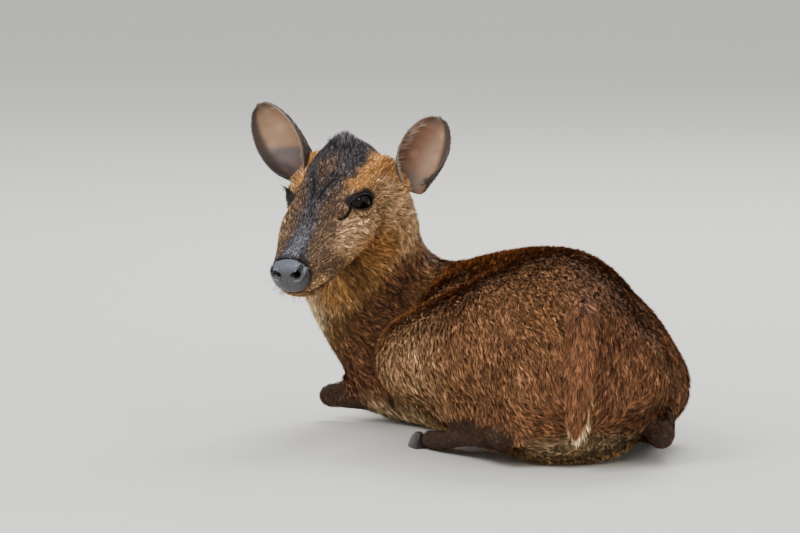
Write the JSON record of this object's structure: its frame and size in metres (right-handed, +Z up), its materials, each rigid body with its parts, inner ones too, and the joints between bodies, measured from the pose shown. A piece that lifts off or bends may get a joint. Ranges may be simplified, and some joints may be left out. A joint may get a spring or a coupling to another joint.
{
  "type": "muntjac deer model",
  "caption": "Life-size still model of a lying muntjac doe with the head turned back, resting on its belly, folded legs and claws",
  "frame": {"origin": "centre of the model's box, on the floor it lies on", "axes": "+Z up; +Y runs roughly from the rump to the shoulders and is the longest extent; +X is to the right of someone behind the doe"},
  "size_m": [0.426, 0.5178, 0.3198],
  "materials": {
    "coat": "short dense chestnut fur",
    "face_coat": "very short tan and black fur",
    "ear_skin": "thin skin with a furred rim",
    "eye": "glossy black",
    "nose": "moist slate-grey pad",
    "hoof": "smooth dark horn"
  },
  "bodies": {
    "root": {"head": "face_coat", "nose_pad": "nose", "ear_left": "ear_skin", "ear_right": "ear_skin", "eye_left": "eye", "eye_right": "eye", "neck": "coat", "chest": "coat", "belly": "coat", "rump": "coat", "tail": "coat", "thigh_left": "coat", "thigh_right": "coat", "shank_left": "coat", "shank_right": "coat", "hind_foot_left": "coat", "hind_foot_right": "coat", "forearm_left": "coat", "forearm_right": "coat", "fore_foot_left": "coat", "fore_foot_right": "coat", "hind_claw_left_inner": "hoof", "hind_claw_left_outer": "hoof", "hind_claw_right_inner": "hoof", "hind_claw_right_outer": "hoof", "fore_claw_left_inner": "hoof", "fore_claw_left_outer": "hoof", "fore_claw_right_inner": "hoof", "fore_claw_right_outer": "hoof"}
  },
  "joints": []
}
